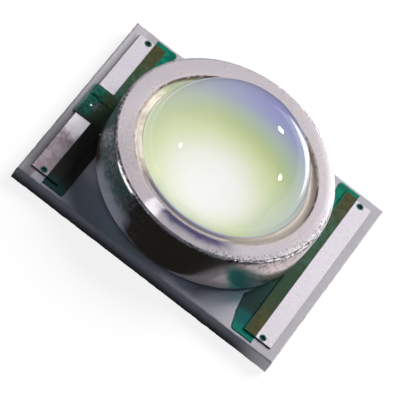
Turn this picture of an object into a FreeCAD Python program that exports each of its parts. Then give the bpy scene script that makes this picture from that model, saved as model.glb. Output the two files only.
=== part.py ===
import FreeCAD, Part
import math
import os
import Sketcher

# High-power LED in a flat ceramic package, in millimetres.
# A rectangular ceramic board carries a short metal ring with a glass dome in it. Copper on both short ends
# is bare where the LED is soldered from above and covered by green mask elsewhere. Under the dome sit the
# chip, its wires and a small protection diode, in a phosphor layer with clear silicone over it.
# Frame: origin at the centre of the underside, +X from the split pads to the long pad, +Z up.

# Driving dimensions: name, millimetres, what it is.
SIZES = [
    ("board_length", 9.0, "ceramic board along X"),
    ("board_width", 7.0, "ceramic board along Y"),
    ("board_thickness", 0.54, "ceramic board along Z"),
    ("under_metal", 0.04, "thickness of the pads on the underside"),
    ("thermal_gap", 0.71, "middle pad on the underside to the pads beside it"),
    ("copper_thickness", 0.06, "copper on the upper side"),
    ("pad_edge_margin", 0.28, "board's short edge to the copper"),
    ("pad_end_margin", 0.35, "board's long edge to the copper"),
    ("pad_width", 0.53, "bare part of the copper along X"),
    ("strip_width", 0.38, "mask-covered part of the copper along X"),
    ("bare_split", 0.67, "middle of the board to the bare part of a short pad"),
    ("copper_split", 0.30, "middle of the board to the copper of a short pad"),
    ("feed_width", 0.50, "copper lead that runs in under the ring"),
    ("landing_end", 0.74, "middle of the board to the inner end of an anode lead"),
    ("die_pad_reach", 0.62, "middle of the board to the die pad's edge beside the anode leads"),
    ("die_pad_tail", 0.90, "middle of the board to the die pad's other edge"),
    ("die_pad_width", 1.60, "die pad along Y"),
    ("via_inset_x", 0.63, "board's short edge to the middle of a plated hole"),
    ("via_inset_y", 0.48, "board's long edge to the middle of a plated hole"),
    ("via_radius", 0.11, "hole through the ceramic"),
    ("via_wall", 0.03, "plating in the hole"),
    ("via_recess", 0.05, "mouth of the hole to its fill"),
    ("mask_thickness", 0.03, "green mask"),
    ("mask_apron", 0.33, "mask on bare ceramic beside the covered copper"),
    ("mask_end_margin", 0.12, "board's long edge to the mask"),
    ("mask_corner", 0.10, "rounded corner of the mask"),
    ("tab_margin", 0.16, "board's short edge to the mask between the short pads"),
    ("mark_span", 0.40, "plus mark, tip to tip"),
    ("mark_stroke", 0.09, "plus mark, width of a stroke"),
    ("mark_inset", 0.63, "board's short edge to the middle of the plus mark"),
    ("ring_radius", 3.40, "outer wall of the metal ring"),
    ("ring_height", 1.50, "metal ring, foot to flat top"),
    ("ring_shift", 0.10, "ring's axis off the board's middle along Y"),
    ("ring_outer_round", 0.09, "rounded outer edge of the flat top"),
    ("ring_inner_bevel", 0.03, "bevel round the step"),
    ("ring_foot_bevel", 0.05, "bevel at the foot"),
    ("step_radius", 2.80, "step in the ring round the lens"),
    ("step_depth", 0.28, "flat top to the ledge that the lens sits on"),
    ("seat_radius", 2.45, "reflecting wall where it meets the ledge"),
    ("floor_radius", 2.15, "reflecting wall at the foot"),
    ("bond_height", 0.09, "adhesive under the ring"),
    ("bond_inset", 0.06, "ring's outer wall to the adhesive"),
    ("lens_clearance", 0.16, "lens rim to the step"),
    ("rim_shoulder", 0.10, "lens rim to the edge of the dome along the radius"),
    ("rim_drop", 0.10, "ring's flat top to the lens rim"),
    ("dome_rise", 0.04, "lens rim to the edge of the dome along Z"),
    ("dome_height", 2.09, "dome above its edge"),
    ("bead_drop", 0.13, "ring's flat top to the sealing bead"),
    ("phosphor_depth", 0.47, "phosphor layer on the board"),
    ("attach_thickness", 0.02, "solder under a chip"),
    ("chip_side", 1.0, "square LED chip"),
    ("chip_thickness", 0.10, "LED chip"),
    ("diode_side", 0.25, "square protection diode"),
    ("diode_thickness", 0.10, "protection diode"),
    ("diode_x", 0.95, "middle of the board to the diode along X"),
    ("diode_y", 0.62, "middle of the board to the diode along Y"),
    ("wire_radius", 0.0125, "gold wire"),
    ("wire_y", 0.42, "middle of the board to a chip wire along Y"),
    ("wire_chip_x", 0.44, "middle of the board to the wire's foot on the chip"),
    ("wire_land_x", 0.84, "middle of the board to the wire's foot on the lead"),
    ("wire_die_pad_x", 0.57, "middle of the board to the diode wire's foot on the die pad"),
    ("wire_shoulder", 0.03, "top of the chip to where a wire leans over"),
    ("wire_rise", 0.12, "height of a wire's slopes"),
    ("wire_slope", 0.08, "length of a wire's slopes along X"),
]

# How near two places must be to count as one.
SAME_PLACE = 1e-5

SOLIDS = []


class Size:
    """A length that carries its number and the formula that gives it from the sheet."""

    def __init__(self, value, text):
        self.value = value
        self.text = text

    def join(self, sign, other, value):
        return Size(value, "(%s %s %s)" % (self.text, sign, formula(other)))

    def __add__(self, other):
        return self.join("+", other, self.value + number(other))

    def __sub__(self, other):
        return self.join("-", other, self.value - number(other))

    def __mul__(self, other):
        return self.join("*", other, self.value * number(other))

    def __truediv__(self, other):
        return self.join("/", other, self.value / number(other))

    def __neg__(self):
        return self * -1


def number(size):
    return size.value if isinstance(size, Size) else float(size)


def formula(size):
    return size.text if isinstance(size, Size) else "%g" % size


def make_sheet(doc):
    """Writes the driving dimensions to a sheet and returns each as a Size under its own name."""
    sheet = doc.addObject("Spreadsheet::Sheet", "sizes")
    sizes = {}
    for row, (name, value, note) in enumerate(SIZES, 1):
        sheet.set("A%d" % row, name)
        sheet.set("B%d" % row, "%g" % value)
        sheet.set("C%d" % row, note)
        sheet.setAlias("B%d" % row, name)
        sizes[name] = Size(value, "sizes.%s" % name)
    doc.recompute()
    return sizes


def new_body(doc, label, shift=None):
    """An empty body, moved along Y by shift where it belongs to the ring."""
    body = doc.addObject("PartDesign::Body", label)
    body.Label = label
    if shift is not None:
        body.Placement = FreeCAD.Placement(FreeCAD.Vector(0, shift.value, 0), FreeCAD.Rotation())
        body.setExpression("Placement.Base.y", shift.text)
    return body


def new_sketch(body, plane, offset=None):
    """A sketch on one of the body's own planes, moved along the plane's normal by offset."""
    sketch = body.newObject("Sketcher::SketchObject", "%s_sketch" % body.Label)
    support = [item for item in body.Origin.OriginFeatures if item.Role == plane][0]
    sketch.AttachmentSupport = [(support, "")]
    sketch.MapMode = "FlatFace"
    if offset is not None:
        sketch.AttachmentOffset = FreeCAD.Placement(FreeCAD.Vector(0, 0, offset.value), FreeCAD.Rotation())
        sketch.setExpression("AttachmentOffset.Base.z", offset.text)
    return sketch


def hold(sketch, kind, edge, end, size):
    """Ties one coordinate of a point to a size, or to the axis where it is plain zero."""
    if isinstance(size, Size):
        index = sketch.addConstraint(Sketcher.Constraint(kind, -1, 1, edge, end, size.value))
        sketch.setExpression("Constraints[%d]" % index, size.text)
    else:
        axis = -2 if kind == "DistanceX" else -1
        sketch.addConstraint(Sketcher.Constraint("PointOnObject", edge, end, axis))


def hold_point(sketch, edge, end, point):
    hold(sketch, "DistanceX", edge, end, point[0])
    hold(sketch, "DistanceY", edge, end, point[1])


def vector(point):
    return FreeCAD.Vector(number(point[0]), number(point[1]), 0)


def add_outline(sketch, points):
    """A closed outline of straight lines through the points, each held by its two coordinates."""
    count = len(points)
    first = sketch.GeometryCount
    for i in range(count):
        sketch.addGeometry(Part.LineSegment(vector(points[i]), vector(points[(i + 1) % count])))
    for i in range(count):
        following = first + (i + 1) % count
        sketch.addConstraint(Sketcher.Constraint("Coincident", first + i, 2, following, 1))
    for i in range(count):
        hold_point(sketch, first + i, 1, points[i])


def add_rectangle(sketch, x0, y0, x1, y1):
    add_outline(sketch, [(x0, y0), (x1, y0), (x1, y1), (x0, y1)])


def add_circle(sketch, x, y, radius):
    centre = FreeCAD.Vector(number(x), number(y), 0)
    edge = sketch.addGeometry(Part.Circle(centre, FreeCAD.Vector(0, 0, 1), radius.value))
    hold_point(sketch, edge, 3, (x, y))
    index = sketch.addConstraint(Sketcher.Constraint("Radius", edge, radius.value))
    sketch.setExpression("Constraints[%d]" % index, radius.text)


def pad(body, sketch, height):
    feature = body.newObject("PartDesign::Pad", "%s_pad" % body.Label)
    feature.Profile = sketch
    feature.Length = height.value
    feature.setExpression("Length", height.text)
    return feature


def revolve(body, sketch):
    feature = body.newObject("PartDesign::Revolution", "%s_turn" % body.Label)
    feature.Profile = sketch
    feature.ReferenceAxis = (sketch, ["V_Axis"])
    feature.Angle = 360
    return feature


def round_edges(body, base, edges, radius):
    feature = body.newObject("PartDesign::Fillet", "%s_round" % body.Label)
    feature.Base = (base, edges)
    feature.Radius = radius.value
    feature.setExpression("Radius", radius.text)
    return feature


def bevel_edges(body, base, edges, size):
    feature = body.newObject("PartDesign::Chamfer", "%s_bevel" % body.Label)
    feature.Base = (base, edges)
    feature.Size = size.value
    feature.setExpression("Size", size.text)
    return feature


def circles_at(shape, radius, level):
    """Names of the full circles of one radius at one height."""
    names = []
    for index, edge in enumerate(shape.Edges, 1):
        curve = edge.Curve
        if not isinstance(curve, Part.Circle):
            continue
        if abs(curve.Radius - radius) < SAME_PLACE and abs(curve.Center.z - level) < SAME_PLACE:
            names.append("Edge%d" % index)
    return names


def corner_edges(shape, corners):
    """Names of the upright edges that stand at the given corners."""
    names = []
    for index, edge in enumerate(shape.Edges, 1):
        ends = edge.Vertexes
        if len(ends) != 2 or abs(ends[0].X - ends[1].X) + abs(ends[0].Y - ends[1].Y) > SAME_PLACE:
            continue
        for x, y in corners:
            if abs(ends[0].X - x) + abs(ends[0].Y - y) < SAME_PLACE:
                names.append("Edge%d" % index)
    return names


def cut(doc, label, base, tools):
    """What is left of base where the tools are taken out of it."""
    if len(tools) == 1:
        tool = tools[0]
    else:
        tool = doc.addObject("Part::MultiFuse", "%s_tools" % label)
        tool.Shapes = tools
    result = doc.addObject("Part::Cut", label)
    result.Label = label
    result.Base = base
    result.Tool = tool
    return result


def keep(sub_part):
    SOLIDS.append(sub_part)
    return sub_part


def levels(s):
    """Heights and half lengths that several sub-parts share."""
    s["board_top"] = s["under_metal"] + s["board_thickness"]
    s["copper_top"] = s["board_top"] + s["copper_thickness"]
    s["half_length"] = s["board_length"] / 2
    s["half_width"] = s["board_width"] / 2
    s["copper_out"] = s["half_length"] - s["pad_edge_margin"]
    s["bare_in"] = s["copper_out"] - s["pad_width"]
    s["copper_in"] = s["bare_in"] - s["strip_width"]
    s["copper_end"] = s["half_width"] - s["pad_end_margin"]
    s["via_x"] = s["half_length"] - s["via_inset_x"]
    s["via_y"] = s["half_width"] - s["via_inset_y"]
    s["feed_end"] = s["copper_split"] + s["feed_width"]
    s["ring_foot"] = s["board_top"] + s["bond_height"]
    s["ring_top"] = s["ring_foot"] + s["ring_height"]
    s["ledge"] = s["ring_top"] - s["step_depth"]
    s["lens_radius"] = s["step_radius"] - s["lens_clearance"]
    s["dome_radius"] = s["lens_radius"] - s["rim_shoulder"]
    s["rim_top"] = s["ring_top"] - s["rim_drop"]
    s["dome_edge"] = s["rim_top"] + s["dome_rise"]
    s["phosphor_top"] = s["board_top"] + s["phosphor_depth"]
    s["chip_foot"] = s["copper_top"] + s["attach_thickness"]
    s["chip_top"] = s["chip_foot"] + s["chip_thickness"]
    s["diode_top"] = s["chip_foot"] + s["diode_thickness"]
    s["wire_bend"] = s["chip_top"] + s["wire_shoulder"]


def make_board(doc, s):
    """Ceramic board with a hole for each plated through connection."""
    body = new_body(doc, "ceramic_board")
    sketch = new_sketch(body, "XY_Plane", s["under_metal"])
    add_rectangle(sketch, -s["half_length"], -s["half_width"], s["half_length"], s["half_width"])
    for x in (-s["via_x"], s["via_x"]):
        for y in (-s["via_y"], s["via_y"]):
            add_circle(sketch, x, y, s["via_radius"])
    pad(body, sketch, s["board_thickness"])
    return keep(body)


def make_under_pads(doc, s):
    """Flat pads on the underside: one for heat in the middle and one for current at each end."""
    thermal = new_body(doc, "thermal_pad")
    sketch = new_sketch(thermal, "XY_Plane")
    half = s["copper_in"] - s["thermal_gap"]
    add_rectangle(sketch, -half, -s["copper_end"], half, s["copper_end"])
    pad(thermal, sketch, s["under_metal"])
    keep(thermal)
    for label, side in (("anode_under_pad", -1), ("cathode_under_pad", 1)):
        body = new_body(doc, label)
        sketch = new_sketch(body, "XY_Plane")
        near = s["copper_in"] * side
        far = s["copper_out"] * side
        add_rectangle(sketch, near, -s["copper_end"], far, s["copper_end"])
        for y in (-s["via_y"], s["via_y"]):
            add_circle(sketch, s["via_x"] * side, y, s["via_radius"])
        pad(body, sketch, s["under_metal"])
        keep(body)


def make_cathode_copper(doc, s):
    """Long pad with its lead and the die pad in the middle, one piece of copper."""
    body = new_body(doc, "cathode_copper")
    sketch = new_sketch(body, "XY_Plane", s["board_top"])
    near = s["copper_in"]
    far = s["copper_out"]
    end = s["copper_end"]
    lead = s["feed_width"] / 2
    tail = s["die_pad_tail"]
    side = s["die_pad_width"] / 2
    front = -s["die_pad_reach"]
    add_outline(sketch, [
        (far, -end), (far, end), (near, end), (near, lead), (tail, lead), (tail, side),
        (front, side), (front, -side), (tail, -side), (tail, -lead), (near, -lead), (near, -end)])
    for y in (-s["via_y"], s["via_y"]):
        add_circle(sketch, s["via_x"], y, s["via_radius"])
    pad(body, sketch, s["copper_thickness"])
    return keep(body)


def make_anode_copper(doc, s, label, side):
    """Short pad with its lead to the landing for the wires; side is +1 for the far half, -1 for the near."""
    body = new_body(doc, label)
    sketch = new_sketch(body, "XY_Plane", s["board_top"])
    near = -s["copper_in"]
    far = -s["copper_out"]
    end = s["copper_end"] * side
    start = s["copper_split"] * side
    lead = s["feed_end"] * side
    landing = -s["landing_end"]
    add_outline(sketch, [(far, start), (landing, start), (landing, lead),
                         (near, lead), (near, end), (far, end)])
    add_circle(sketch, -s["via_x"], s["via_y"] * side, s["via_radius"])
    pad(body, sketch, s["copper_thickness"])
    return keep(body)


def make_vias(doc, s):
    """Plating of the four holes, from the underside to the top of the copper, and the fill in each."""
    places = [(x, y) for x in (-s["via_x"], s["via_x"]) for y in (-s["via_y"], s["via_y"])]
    bore = s["via_radius"] - s["via_wall"]
    for index, (x, y) in enumerate(places, 1):
        barrel = new_body(doc, "via_barrel_%d" % index)
        sketch = new_sketch(barrel, "XY_Plane")
        add_circle(sketch, x, y, s["via_radius"])
        add_circle(sketch, x, y, bore)
        pad(barrel, sketch, s["copper_top"])
        keep(barrel)
        fill = new_body(doc, "via_fill_%d" % index)
        sketch = new_sketch(fill, "XY_Plane", s["via_recess"])
        add_circle(sketch, x, y, bore)
        pad(fill, sketch, s["copper_top"] - s["via_recess"] * 2)
        keep(fill)


def make_cathode_mask(doc, s, copper):
    """Green mask over the inner strip of the long pad and an apron of bare ceramic beside it."""
    body = new_body(doc, "cathode_mask_blank")
    end = s["half_width"] - s["mask_end_margin"]
    apron = s["copper_in"] - s["mask_apron"]
    film = new_sketch(body, "XY_Plane", s["board_top"])
    add_rectangle(film, apron, -end, s["bare_in"], end)
    low = pad(body, film, s["mask_thickness"])
    doc.recompute()
    edges = corner_edges(low.Shape, [(apron.value, -end.value), (apron.value, end.value)])
    round_edges(body, low, edges, s["mask_corner"])
    over = new_sketch(body, "XY_Plane", s["board_top"])
    crest = s["copper_end"] + s["mask_thickness"]
    add_rectangle(over, s["copper_in"] - s["mask_thickness"], -crest, s["bare_in"], crest)
    pad(body, over, s["copper_thickness"] + s["mask_thickness"])
    return keep(cut(doc, "cathode_mask", body, [copper]))


def make_anode_mask(doc, s, coppers):
    """Green mask beside the short pads, with a tab between them that leaves a plus mark open."""
    body = new_body(doc, "anode_mask_blank")
    end = s["half_width"] - s["mask_end_margin"]
    apron = -(s["copper_in"] - s["mask_apron"])
    bare = -s["bare_in"]
    tab = -(s["half_length"] - s["tab_margin"])
    split = s["bare_split"]
    film = new_sketch(body, "XY_Plane", s["board_top"])
    add_outline(film, [(apron, -end), (apron, end), (bare, end), (bare, split), (tab, split),
                       (tab, -split), (bare, -split), (bare, -end)])
    low = pad(body, film, s["mask_thickness"])
    doc.recompute()
    corners = [(apron.value, -end.value), (apron.value, end.value)]
    corners += [(tab.value, split.value), (tab.value, -split.value)]
    round_edges(body, low, corner_edges(low.Shape, corners), s["mask_corner"])
    inner = -(s["copper_in"] - s["mask_thickness"])
    outer = -(s["copper_out"] + s["mask_thickness"])
    crest = s["copper_end"] + s["mask_thickness"]
    start = s["copper_split"] - s["mask_thickness"]
    for side in (1, -1):
        over = new_sketch(body, "XY_Plane", s["board_top"])
        add_outline(over, [(inner, start * side), (inner, crest * side), (bare, crest * side),
                           (bare, split * side), (outer, split * side), (outer, start * side)])
        pad(body, over, s["copper_thickness"] + s["mask_thickness"])
    arm = s["mark_span"] / 2
    half = s["mark_stroke"] / 2
    middle = -(s["half_length"] - s["mark_inset"])
    mark = new_sketch(body, "XY_Plane", s["board_top"])
    add_outline(mark, [
        (middle - arm, -half), (middle - half, -half), (middle - half, -arm), (middle + half, -arm),
        (middle + half, -half), (middle + arm, -half), (middle + arm, half), (middle + half, half),
        (middle + half, arm), (middle - half, arm), (middle - half, half), (middle - arm, half)])
    opening = body.newObject("PartDesign::Pocket", "plus_opening")
    opening.Profile = mark
    opening.Type = "ThroughAll"
    opening.Reversed = True
    return keep(cut(doc, "anode_mask", body, coppers))


def make_ring(doc, s):
    """Turned metal ring: straight outer wall, flat top, a step for the lens and a reflecting bore."""
    body = new_body(doc, "reflector_ring", s["ring_shift"])
    sketch = new_sketch(body, "XZ_Plane")
    add_outline(sketch, [
        (s["floor_radius"], s["ring_foot"]), (s["ring_radius"], s["ring_foot"]),
        (s["ring_radius"], s["ring_top"]), (s["step_radius"], s["ring_top"]),
        (s["step_radius"], s["ledge"]), (s["seat_radius"], s["ledge"])])
    turned = revolve(body, sketch)
    doc.recompute()
    top = s["ring_top"].value
    outer = circles_at(turned.Shape, s["ring_radius"].value, top)
    rounded = round_edges(body, turned, outer, s["ring_outer_round"])
    doc.recompute()
    foot = circles_at(rounded.Shape, s["ring_radius"].value, s["ring_foot"].value)
    footed = bevel_edges(body, rounded, foot, s["ring_foot_bevel"])
    doc.recompute()
    inner = circles_at(footed.Shape, s["step_radius"].value, top)
    bevel_edges(body, footed, inner, s["ring_inner_bevel"])
    return keep(body)


def make_bond(doc, s, under):
    """Adhesive between the ring's foot and the board, flowed round the copper leads and the mask."""
    body = new_body(doc, "ring_bond_blank", s["ring_shift"])
    sketch = new_sketch(body, "XY_Plane", s["board_top"])
    add_circle(sketch, 0, 0, s["ring_radius"] - s["bond_inset"])
    add_circle(sketch, 0, 0, s["floor_radius"])
    pad(body, sketch, s["bond_height"])
    return keep(cut(doc, "ring_bond", body, under))


def make_chip(doc, s):
    """LED chip on its solder, in the middle of the die pad."""
    half = s["chip_side"] / 2
    made = []
    for label, foot, height in (("chip_attach", s["copper_top"], s["attach_thickness"]),
                                ("led_chip", s["chip_foot"], s["chip_thickness"])):
        body = new_body(doc, label)
        sketch = new_sketch(body, "XY_Plane", foot)
        add_rectangle(sketch, -half, -half, half, half)
        pad(body, sketch, height)
        made.append(keep(body))
    return made


def make_diode(doc, s):
    """Protection diode on its solder, on the lead of the near short pad."""
    half = s["diode_side"] / 2
    x = -s["diode_x"]
    y = -s["diode_y"]
    made = []
    for label, foot, height in (("diode_attach", s["copper_top"], s["attach_thickness"]),
                                ("protection_diode", s["chip_foot"], s["diode_thickness"])):
        body = new_body(doc, label)
        sketch = new_sketch(body, "XY_Plane", foot)
        add_rectangle(sketch, x - half, y - half, x + half, y + half)
        pad(body, sketch, height)
        made.append(keep(body))
    return made


def make_wire(doc, s, label, y, high, low):
    """Bond wire in a plane of its own: straight up from each foot, then in over slopes to a level crest.

    high and low are the (x, level) of its two feet.
    """
    body = new_body(doc, label)
    bend = s["wire_bend"]
    crest = bend + s["wire_rise"]
    slope = s["wire_slope"] if low[0].value < high[0].value else -s["wire_slope"]
    points = [low, (low[0], bend), (low[0] + slope, crest), (high[0] - slope, crest), (high[0], bend), high]
    path = new_sketch(body, "XZ_Plane", -y)
    runs = len(points) - 1
    for i in range(runs):
        path.addGeometry(Part.LineSegment(vector(points[i]), vector(points[i + 1])))
        hold_point(path, i, 1, points[i])
    for i in range(runs - 1):
        path.addConstraint(Sketcher.Constraint("Coincident", i, 2, i + 1, 1))
    hold_point(path, runs - 1, 2, high)
    section = new_sketch(body, "XY_Plane", low[1])
    add_circle(section, low[0], y, s["wire_radius"])
    pipe = body.newObject("PartDesign::AdditivePipe", "%s_pipe" % label)
    pipe.Profile = section
    pipe.Spine = (path, ["Edge%d" % (i + 1) for i in range(runs)])
    pipe.Transition = "Right corner"
    return keep(body)


def make_wires(doc, s):
    chip_foot = (-s["wire_chip_x"], s["chip_top"])
    landing = (-s["wire_land_x"], s["copper_top"])
    made = [make_wire(doc, s, "chip_wire_far", s["wire_y"], chip_foot, landing),
            make_wire(doc, s, "chip_wire_near", -s["wire_y"], chip_foot, landing)]
    diode_foot = (-s["diode_x"], s["diode_top"])
    die_pad = (-s["wire_die_pad_x"], s["copper_top"])
    made.append(make_wire(doc, s, "diode_wire", -s["diode_y"], diode_foot, die_pad))
    return made


def wall_radius(s, level):
    """Radius of the space inside the ring at a level between its foot and the ledge."""
    share = (level - s["ring_foot"]) / (s["ledge"] - s["ring_foot"])
    return s["floor_radius"] + (s["seat_radius"] - s["floor_radius"]) * share


def make_fills(doc, s, inside):
    """Phosphor layer on the board and clear silicone from there up to the lens."""
    top = s["phosphor_top"]
    low = new_body(doc, "phosphor_blank", s["ring_shift"])
    sketch = new_sketch(low, "XZ_Plane")
    add_outline(sketch, [(0, s["board_top"]), (s["floor_radius"], s["board_top"]),
                         (s["floor_radius"], s["ring_foot"]), (wall_radius(s, top), top), (0, top)])
    revolve(low, sketch)
    keep(cut(doc, "phosphor_layer", low, inside))
    high = new_body(doc, "silicone_fill", s["ring_shift"])
    sketch = new_sketch(high, "XZ_Plane")
    add_outline(sketch, [(0, top), (wall_radius(s, top), top),
                         (s["seat_radius"], s["ledge"]), (0, s["ledge"])])
    revolve(high, sketch)
    keep(high)


def dome_shoulder(s):
    """A point half-way up the curve of the dome, which starts the arc of its profile."""
    height = s["dome_height"].value
    ball = (s["dome_radius"].value ** 2 + height ** 2) / (2 * height)
    middle = s["dome_edge"].value + height - ball
    slant = math.radians(45)
    return FreeCAD.Vector(ball * math.cos(slant), middle + ball * math.sin(slant), 0)


def make_lens(doc, s):
    """Glass lens: a round rim that sits on the ring's ledge and a dome over it."""
    body = new_body(doc, "lens", s["ring_shift"])
    sketch = new_sketch(body, "XZ_Plane")
    edge = (s["dome_radius"], s["dome_edge"])
    top = (0, s["dome_edge"] + s["dome_height"])
    corners = [(0, s["ledge"]), (s["lens_radius"], s["ledge"]), (s["lens_radius"], s["rim_top"]), edge]
    dome = len(corners) - 1
    for i in range(dome):
        sketch.addGeometry(Part.LineSegment(vector(corners[i]), vector(corners[i + 1])))
        hold_point(sketch, i, 1, corners[i])
    sketch.addGeometry(Part.Arc(vector(edge), dome_shoulder(s), vector(top)))
    hold_point(sketch, dome, 1, edge)
    hold_point(sketch, dome, 2, top)
    sketch.addConstraint(Sketcher.Constraint("PointOnObject", dome, 3, -2))
    axis = sketch.addGeometry(Part.LineSegment(vector(top), vector(corners[0])))
    for i in range(axis):
        sketch.addConstraint(Sketcher.Constraint("Coincident", i, 2, i + 1, 1))
    sketch.addConstraint(Sketcher.Constraint("Coincident", axis, 2, 0, 1))
    revolve(body, sketch)
    return keep(body)


def make_bead(doc, s):
    """Silicone bead that fills the gap between the lens rim and the step up to just under the ring's top."""
    body = new_body(doc, "lens_seal", s["ring_shift"])
    sketch = new_sketch(body, "XZ_Plane")
    top = s["ring_top"] - s["bead_drop"]
    add_rectangle(sketch, s["lens_radius"], s["ledge"], s["step_radius"], top)
    revolve(body, sketch)
    return keep(body)


def check(doc):
    """Stops the script where any object failed or any sub-part has no sound shape."""
    for item in doc.Objects:
        if "Invalid" in item.State or "Error" in item.State:
            raise RuntimeError("%s failed: %s" % (item.Label, item.State))
    for item in SOLIDS:
        if item.Shape.isNull() or not item.Shape.isValid() or not item.Shape.Solids:
            raise RuntimeError("%s has no sound shape" % item.Label)


def build():
    doc = FreeCAD.newDocument("high_power_led")
    s = make_sheet(doc)
    levels(s)
    make_board(doc, s)
    make_under_pads(doc, s)
    cathode = make_cathode_copper(doc, s)
    anodes = [make_anode_copper(doc, s, "anode_copper_far", 1),
              make_anode_copper(doc, s, "anode_copper_near", -1)]
    make_vias(doc, s)
    masks = [make_cathode_mask(doc, s, cathode), make_anode_mask(doc, s, anodes)]
    make_ring(doc, s)
    make_bond(doc, s, [cathode] + anodes + masks)
    inside = [cathode] + anodes + make_chip(doc, s) + make_diode(doc, s) + make_wires(doc, s)
    make_fills(doc, s, inside)
    make_lens(doc, s)
    make_bead(doc, s)
    doc.recompute()
    check(doc)
    os.makedirs("parts", exist_ok=True)
    for item in SOLIDS:
        item.Shape.exportStep("parts/%s.step" % item.Label)
        box = item.Shape.BoundBox
        print("%-20s solids %d volume %8.4f  z %.3f to %.3f" % (
            item.Label, len(item.Shape.Solids), item.Shape.Volume, box.ZMin, box.ZMax))


build()
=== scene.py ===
import math

import bpy
from mathutils import Matrix, Vector, noise


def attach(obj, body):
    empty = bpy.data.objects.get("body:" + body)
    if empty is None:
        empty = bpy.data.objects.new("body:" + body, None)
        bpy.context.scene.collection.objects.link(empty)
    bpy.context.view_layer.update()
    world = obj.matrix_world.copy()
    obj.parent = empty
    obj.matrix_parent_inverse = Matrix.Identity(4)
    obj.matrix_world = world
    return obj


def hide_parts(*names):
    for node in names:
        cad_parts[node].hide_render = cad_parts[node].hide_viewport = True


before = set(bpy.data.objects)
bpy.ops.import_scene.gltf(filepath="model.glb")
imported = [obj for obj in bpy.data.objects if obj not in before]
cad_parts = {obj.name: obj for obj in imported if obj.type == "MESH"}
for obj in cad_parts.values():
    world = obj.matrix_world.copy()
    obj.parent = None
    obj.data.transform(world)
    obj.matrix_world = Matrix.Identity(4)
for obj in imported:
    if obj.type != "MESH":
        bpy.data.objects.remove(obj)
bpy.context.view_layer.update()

# Visual model of a high-power LED. The ring, the lens with its silicone, the bead, the ceramic, the pads and
# the green film are built here round the solids; the other solids stay and get materials.

# Lengths below are millimetres in the part's own frame; meshes are scaled to metres as they are made
MM = 0.001


def box_of(node):
    """Low and high corner of a CAD node in millimetres, to a ten-thousandth."""
    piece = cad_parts[node]
    corners = [piece.matrix_world @ Vector(corner) for corner in piece.bound_box]
    low = [round(min(corner[axis] for corner in corners) / MM, 4) for axis in range(3)]
    high = [round(max(corner[axis] for corner in corners) / MM, 4) for axis in range(3)]
    return low, high


# Sizes read from the solids
BOARD_LOW, BOARD_HIGH = box_of("ceramic_board")
RING_LOW, RING_HIGH = box_of("reflector_ring")
LENS_LOW, LENS_HIGH = box_of("lens")
LONG_PAD_LOW, LONG_PAD_HIGH = box_of("cathode_copper")
SHORT_PAD_LOW, SHORT_PAD_HIGH = box_of("anode_copper_far")
FILM_LOW, FILM_HIGH = box_of("cathode_mask")
HOLE_LOW, HOLE_HIGH = box_of("via_barrel_4")
BOARD_TOP = BOARD_HIGH[2]
COPPER_TOP = LONG_PAD_HIGH[2]
FILM_CREST = FILM_HIGH[2]
RING_Y = round((RING_LOW[1] + RING_HIGH[1]) / 2, 4)
RING_FOOT = RING_LOW[2]
RING_TOP = RING_HIGH[2]
RING_R = RING_HIGH[0]
LENS_R = LENS_HIGH[0]
LEDGE = LENS_LOW[2]
DOME_TOP = LENS_HIGH[2]
PHOSPHOR_TOP = box_of("phosphor_layer")[1][2]
SEAT_R = box_of("silicone_fill")[1][0]
STEP_R = box_of("lens_seal")[1][0]
BEAD_RIM = box_of("lens_seal")[1][2] + 0.03
PAD_OUT = LONG_PAD_HIGH[0]
PAD_IN = box_of("cathode_under_pad")[0][0]
PAD_HALF = LONG_PAD_HIGH[1]
PAD_GAP = SHORT_PAD_LOW[1]
LEAD_END = SHORT_PAD_HIGH[0]
DIE_PAD_LEFT = LONG_PAD_LOW[0]
HOLE_X = round((HOLE_LOW[0] + HOLE_HIGH[0]) / 2, 4)
HOLE_Y = round((HOLE_LOW[1] + HOLE_HIGH[1]) / 2, 4)
HOLE_R = round((HOLE_HIGH[0] - HOLE_LOW[0]) / 2, 4)

# Sizes that no box gives
FLOOR_R = 2.15
RIM_TOP = 2.07
DOME_R = 2.54
DOME_EDGE = 2.11
DIE_PAD_RIGHT = 0.9
DIE_PAD_HALF = 0.8
LEAD_HALF = 0.25
TAB_HALF = 0.67
FILM = 0.03

# Lean of the ring's wall, in its shading only: millimetres in for each millimetre up
WALL_TAPER = 0.13

# Radius at which the phosphor's colours end
PHOSPHOR_R = 2.24

# Wear of the ring's edges: depth of nicks inward and down, drop and width of the edge that is rolled over,
# depth of the burr inside the rim, and how much wider the opening is at the far left
NICK_IN = 0.016
NICK_DOWN = 0.010
ROLLED_DROP = 0.08
ROLLED_WIDTH = 0.42
BURR = 0.015
WIDENED = 0.07

# Stretch of the ring where a glint of one small bright light is painted: two directions in degrees from +X
# towards +Y, and the soft length beyond each
GLINT = (-131, -118, 4)

# The photograph's camera: its place and lens in millimetres, and in degrees the direction that it stands in,
# its height above level and its turn about its own axis
CAMERA_PLACE = (1.2562, -75.0033, 90.8372)
CAMERA_LENS = 370.57
CAMERA_AZIMUTH = -89.1131
CAMERA_ELEVATION = 50.4178
CAMERA_ROLL = 36.8955

# Light that comes from the sky and the floor, and light that the lens lets through its own shadow
SKY = (0.085, 0.098, 0.12, 1)
FLOOR_GLOW = (0.86, 0.86, 0.86, 1)
LENS_SHADOW = (0.5, 0.47, 0.49, 1)

MATERIALS = {}


# Node graphs

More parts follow.
